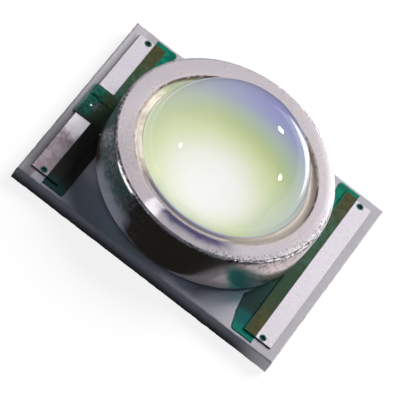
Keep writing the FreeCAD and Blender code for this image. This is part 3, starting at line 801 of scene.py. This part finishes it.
def make_ring():
    """The turned ring: mirror-like wall, worn round edge, matte top, step and reflecting bore."""
    wall, edge, top, inner, ledge, bore = range(6)
    rolled_r, foot_cut, rim_cut = 0.09, 0.05, 0.045
    roll = arc(RING_R - rolled_r, RING_TOP - rolled_r, rolled_r, 0, 90, 7, edge)
    foot = (RING_R, RING_FOOT + foot_cut, wall)
    profile = [(FLOOR_R, RING_FOOT, wall), (RING_R - foot_cut, RING_FOOT, wall), foot]
    profile += inner_points(foot, roll[0], 9, wall)
    start = len(profile)
    profile += roll
    end = len(profile) - 1
    flat = (roll[-1][0], RING_TOP, top)
    profile[end] = flat
    profile += inner_points(flat, (STEP_R + 0.03, RING_TOP), 10, top)
    rim = len(profile)
    seat = (SEAT_R, LEDGE, bore)
    floor = (FLOOR_R, RING_FOOT, bore)
    profile += [(STEP_R + rim_cut, RING_TOP, inner), (STEP_R + 0.012, RING_TOP - 0.012, inner),
                (STEP_R, RING_TOP - 0.05, ledge), (STEP_R, LEDGE, ledge), seat]
    profile += inner_points(seat, floor, 6, bore)
    profile.append(floor)

    def worn(index, angle, radius, height):
        """Small nicks in the outer edge, a wider rolled edge towards +X, and a burr inside the rim."""
        if rim <= index < rim + 3:
            far_left = max(0, math.cos(angle - math.radians(132))) ** 3
            burr = abs(noise.noise((math.cos(angle) * 14, math.sin(angle) * 14, 0)))
            return -far_left * WIDENED - burr * BURR, 0.0
        if not start <= index < end + 5:
            return 0.0, 0.0
        place = (radius * math.cos(angle) * 9, radius * math.sin(angle) * 9, height * 9)
        rough = noise.noise(place) * 0.5 + noise.noise([v * 2.7 for v in place]) * 0.5
        nick = abs(rough) * min(1, end + 2 - index) * 0.5
        rolled = max(0, math.cos(angle - math.radians(15))) ** 2
        reach = max(0, (radius - (RING_R - ROLLED_WIDTH)) / ROLLED_WIDTH)
        return -nick * NICK_IN, -nick * NICK_DOWN - rolled * reach ** 2 * ROLLED_DROP

    names = ("ring_mirror_wall", "ring_worn_edge", "ring_matte_top", "ring_inner_edge", "ring_ledge",
             "ring_reflector_wall")
    piece = lathe("ring_turned", profile, [MATERIALS[name] for name in names], turns=512, wobble=worn)
    declare(piece, "ring_metal", "reflector_ring")


def make_lens():
    """Lens and clear silicone as one clear body that reaches a hair into the phosphor and the ring's bore."""
    height = DOME_TOP - DOME_EDGE
    ball = (DOME_R ** 2 + height ** 2) / (2 * height)
    middle = DOME_TOP - ball
    start = math.degrees(math.asin((DOME_EDGE - middle) / ball))
    sink = 0.01
    base = PHOSPHOR_TOP - sink
    wall = FLOOR_R + (SEAT_R - FLOOR_R) * (base - RING_FOOT) / (LEDGE - RING_FOOT)
    profile = [(0, base, 0), (wall + sink, base, 0), (SEAT_R + sink, LEDGE, 0), (LENS_R, LEDGE, 0),
               (LENS_R, RIM_TOP - 0.02, 0), (LENS_R - 0.01, RIM_TOP, 0)]
    profile += arc(0, middle, ball, start, 90, 60)[:-1]
    profile.append((0, DOME_TOP, 0))
    piece = lathe("lens_and_silicone", profile, [MATERIALS["lens_clear"]], smooth=12)
    declare(piece, "lens_glass", "lens", "silicone_fill")


def make_bead():
    """Bead of silicone in the gap round the lens, with a hollow top."""
    outer = (STEP_R, BEAD_RIM, 0)
    crest = (DOME_R + 0.02, BEAD_RIM + 0.03)
    depth, count, off = 0.05, 9, 0.002
    profile = [outer]
    for k, (radius, height, band) in enumerate(inner_points(outer, crest, count, 0), 1):
        profile.append((radius, height - depth * math.sin(math.pi * k / count), band))
    profile += [(DOME_R + 0.01, DOME_EDGE - 0.01, 0), (DOME_R + 0.03, LEDGE + 0.1, 0),
                (LENS_R + off, LEDGE + off, 0), (STEP_R, LEDGE + off, 0), outer]
    piece = lathe("seal_bead_round_lens", profile, [MATERIALS["seal_bead"]])
    declare(piece, "seal_silicone", "lens_seal")


def make_board():
    """Ceramic plate with slightly rough sides and its four holes."""
    x, y = BOARD_HIGH[0], BOARD_HIGH[1]
    outline = rough_loop([(-x, -y), (x, -y), (x, y), (-x, y)], step=0.05, jitter=0.018, seed=5)
    holes = [hole(side * HOLE_X, end * HOLE_Y) for side in (-1, 1) for end in (-1, 1)]
    piece = plate("ceramic_plate", [outline] + holes, BOARD_LOW[2], BOARD_TOP, edge=0.05,
                  material="ceramic_grain")
    declare(piece, "ceramic", "ceramic_board")


def copper(name, outline, seed, holes, node):
    """A plated pad with its lead, as one flat piece."""
    loops = [rough_loop(outline, step=0.05, jitter=0.008, seed=seed)] + holes
    piece = plate(name, loops, BOARD_TOP, COPPER_TOP, edge=0.012, material="plated_pad")
    declare(piece, "plated_copper", node)


def make_pads():
    """Long pad with the die pad, and the two short pads with their leads."""
    half = [(PAD_OUT, PAD_HALF), (PAD_IN, PAD_HALF), (PAD_IN, LEAD_HALF), (DIE_PAD_RIGHT, LEAD_HALF),
            (DIE_PAD_RIGHT, DIE_PAD_HALF), (DIE_PAD_LEFT, DIE_PAD_HALF)]
    mirrored = [(x, -y) for x, y in reversed(half)]
    outline = [mirrored[-1]] + half + mirrored[:-1]
    copper("long_pad", outline, 2, [hole(HOLE_X, -HOLE_Y), hole(HOLE_X, HOLE_Y)], "cathode_copper")
    short = [(-PAD_OUT, PAD_GAP), (LEAD_END, PAD_GAP), (LEAD_END, DIE_PAD_HALF), (-PAD_IN, DIE_PAD_HALF),
             (-PAD_IN, PAD_HALF), (-PAD_OUT, PAD_HALF)]
    for place, side in (("far", 1), ("near", -1)):
        outline = [(x, y * side) for x, y in short]
        holes = [hole(-HOLE_X, HOLE_Y * side)]
        copper("short_pad_" + place, outline, 3 + side, holes, "anode_copper_" + place)


def film_apron(name, outline, seed, holes, node):
    """Green film that lies on the ceramic."""
    loops = [rough_loop(outline, step=0.08, jitter=0.012, seed=seed)] + holes
    piece = plate(name, loops, BOARD_TOP, BOARD_TOP + FILM, edge=0.008, material="green_mask")
    declare(piece, "green_mask", node)


def film_strip(name, outline, seed):
    """Green film raised over the copper."""
    loops = [rough_loop(outline, step=0.06, jitter=0.006, seed=seed)]
    piece = plate(name, loops, BOARD_TOP + 0.01, FILM_CREST, edge=0.012, material="green_mask")
    declare(piece, "green_mask")


def plus_outline(x, arm, half):
    """Outline of a plus on the board's long axis."""
    return [(x - arm, -half), (x - half, -half), (x - half, -arm), (x + half, -arm), (x + half, -half),
            (x + arm, -half), (x + arm, half), (x + half, half), (x + half, arm), (x - half, arm),
            (x - half, half), (x - arm, half)]


def make_film():
    """Green film: a thin apron on the ceramic and a raised strip over the copper, at each end."""
    inner, outer, half = FILM_LOW[0], FILM_HIGH[0], FILM_HIGH[1]
    lap = 0.03
    lap_in, lap_half, lap_out, lap_gap = PAD_IN - lap, PAD_HALF + lap, PAD_OUT + lap, PAD_GAP - lap
    bulge = [(inner, -1.4), (2.7, -2.1), (2.8, -2.75)]
    apron = [(inner, -half), (outer, -half), (outer, half), (inner, half)] + bulge
    apron = rounded(apron, corners=(0, 3), radius=0.1)
    strip = [(lap_in, -lap_half), (outer, -lap_half), (outer, lap_half), (lap_in, lap_half)]
    film_apron("mask_long_side", apron, 9, [], "cathode_mask")
    film_strip("mask_long_strip", strip, 4)

    tab = box_of("anode_mask")[0][0]
    apron = [(-inner, -half), (-inner, half), (-outer, half), (-outer, TAB_HALF), (tab, TAB_HALF),
             (tab, -TAB_HALF), (-outer, -TAB_HALF), (-outer, -half)]
    apron = rounded(apron, corners=(0, 1, 4, 5), radius=0.1)
    plus = plus_outline(-HOLE_X, arm=0.2, half=0.045)
    film_apron("mask_short_side", apron, 6, [plus], "anode_mask")
    strip = [(-lap_in, lap_gap), (-lap_in, lap_half), (-outer, lap_half), (-outer, TAB_HALF),
             (-lap_out, TAB_HALF), (-lap_out, lap_gap)]
    for place, side in (("far", 1), ("near", -1)):
        outline = [(x, y * side) for x, y in strip]
        film_strip("mask_strip_" + place, outline, 7 + side)


def dress_nodes():
    """Gives the CAD nodes that stay their materials."""
    looks = {
        "thermal_pad": "under_metal", "anode_under_pad": "under_metal", "cathode_under_pad": "under_metal",
        "ring_bond": "bond_gray", "chip_attach": "solder_gray", "diode_attach": "solder_gray",
        "led_chip": "chip_crystal", "protection_diode": "diode_dark", "phosphor_layer": "phosphor_glow",
        "chip_wire_far": "wire_gold", "chip_wire_near": "wire_gold", "diode_wire": "wire_gold"}
    for number in range(1, 5):
        looks["via_barrel_%d" % number] = "via_plating"
        looks["via_fill_%d" % number] = "via_green"
    for node, look in looks.items():
        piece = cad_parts[node]
        piece.data.materials.clear()
        piece.data.materials.append(MATERIALS[look])


# Studio

def floor_material():
    """White for the camera, pale for scattered light, and dark in mirrors but for two bright areas."""
    g = Graph("floor_white")
    path = g.add("ShaderNodeLightPath")
    glossy = path.outputs["Is Glossy Ray"]
    x, y, _ = g.split(g.millimetres())
    far = g.span(y, -4.5, -1.0)
    right = g.times(g.span(x, 2.4, 4.6), far)
    behind = g.times(g.between(x, 3.2, 6.5, 0.8), g.between(y, 5.0, 16.0, 1.5))
    mirrored = g.plus(g.times(right, 0.8), g.times(far, 0.06), g.times(behind, 3.0))
    seen = g.most(path.outputs["Is Camera Ray"], path.outputs["Is Transmission Ray"],
                  g.times(glossy, mirrored))
    glow = g.add("ShaderNodeEmission")
    g.put(glow, "Color", FLOOR_GLOW)
    g.put(glow, "Strength", seen)
    matte = g.add("ShaderNodeBsdfDiffuse")
    g.put(matte, "Color", g.mix(g.times(g.unless(glossy), 0.2), BLACK, WHITE))
    both = g.add("ShaderNodeAddShader")
    g.put(both, 0, glow.outputs[0])
    g.put(both, 1, matte.outputs[0])
    g.surface(both.outputs[0])


def make_floor():
    """A wide flat floor, a hair under the object."""
    floor_material()
    half, drop = 2000, 0.005
    corners = [(-half, -half, 0), (half, -half, 0), (half, half, 0), (-half, half, 0)]
    mesh = bpy.data.meshes.new("floor")
    mesh.from_pydata(corners, [], [(0, 1, 2, 3)])
    piece = link("floor", mesh, [MATERIALS["floor_white"]])
    piece.location.z = -drop * MM


def make_world():
    """White behind the object, and a dim blue-gray sky that lights it."""
    world = bpy.data.worlds.new("studio")
    bpy.context.scene.world = world
    world.use_nodes = True
    tree = world.node_tree
    tree.nodes.clear()
    out = tree.nodes.new("ShaderNodeOutputWorld")
    path = tree.nodes.new("ShaderNodeLightPath")
    sky = tree.nodes.new("ShaderNodeBackground")
    sky.inputs["Color"].default_value = SKY
    white = tree.nodes.new("ShaderNodeBackground")
    white.inputs["Color"].default_value = (1, 1, 1, 1)
    either = tree.nodes.new("ShaderNodeMath")
    either.operation = "MAXIMUM"
    mixed = tree.nodes.new("ShaderNodeMixShader")
    tree.links.new(path.outputs["Is Camera Ray"], either.inputs[0])
    tree.links.new(path.outputs["Is Transmission Ray"], either.inputs[1])
    tree.links.new(either.outputs[0], mixed.inputs[0])
    tree.links.new(sky.outputs[0], mixed.inputs[1])
    tree.links.new(white.outputs[0], mixed.inputs[2])
    tree.links.new(mixed.outputs[0], out.inputs["Surface"])


def lamp(name, azimuth, elevation, size, level, target=(0, 0, 1), glossy=True, diffuse=True):
    """A round soft lamp 200 mm away; level is the brightness of white paper that faces it."""
    distance = 200
    a, e = math.radians(azimuth), math.radians(elevation)
    way = Vector((math.cos(e) * math.cos(a), math.cos(e) * math.sin(a), math.sin(e)))
    light = bpy.data.lights.new(name, "AREA")
    light.shape = "DISK"
    light.size = size * MM
    light.energy = level * (math.pi * distance * MM) ** 2
    piece = bpy.data.objects.new(name, light)
    piece.location = (Vector(target) + way * distance) * MM
    piece.rotation_euler = way.to_track_quat("Z", "Y").to_euler()
    piece.visible_glossy = glossy
    piece.visible_diffuse = diffuse
    piece.visible_camera = False
    bpy.context.scene.collection.objects.link(piece)


def make_lamps():
    """One soft main lamp, and three that show only as small lights in the dome."""
    lamp("key_soft", azimuth=62, elevation=46, size=120, level=1.0, glossy=False)
    lamp("spot_far", azimuth=69, elevation=23, size=22, level=0.3, target=(0.7, 0.5, 4), diffuse=False)
    lamp("spot_right", azimuth=20, elevation=23, size=20, level=0.3, target=(1.5, -0.5, 3.6), diffuse=False)
    lamp("spot_left", azimuth=-154, elevation=20, size=16, level=0.2, target=(-1.2, -1.5, 3.2),
         diffuse=False)


def make_camera():
    """Camera of the photograph: a long lens from the front, half above, turned about its own axis."""
    camera = bpy.data.objects.new("camera", bpy.data.cameras.new("camera"))
    camera.data.sensor_width = 36
    camera.data.lens = CAMERA_LENS
    camera.data.clip_start = 0.01
    camera.data.clip_end = 10
    place = Matrix.Translation(Vector(CAMERA_PLACE) * MM)
    turn = Matrix.Rotation(math.radians(CAMERA_AZIMUTH + 90), 4, "Z")
    tilt = Matrix.Rotation(math.radians(90 - CAMERA_ELEVATION), 4, "X")
    roll = Matrix.Rotation(math.radians(CAMERA_ROLL), 4, "Z")
    camera.matrix_world = place @ turn @ tilt @ roll
    bpy.context.scene.collection.objects.link(camera)
    bpy.context.scene.camera = camera
    bpy.context.scene.view_settings.view_transform = "Standard"


make_camera()
ring_top_material()
ring_wall_material()
ring_edge_material()
ring_reflector_material()
ring_inner_edge_material()
ring_ledge_material()
lens_material()
phosphor_material()
bead_material()
ceramic_material()
pad_material()
film_material()
plain_materials()
make_ring()
make_lens()
make_bead()
make_board()
make_pads()
make_film()
dress_nodes()
make_floor()
make_world()
make_lamps()


def plain(box):
    return [[float(v) for v in corner] for corner in box]
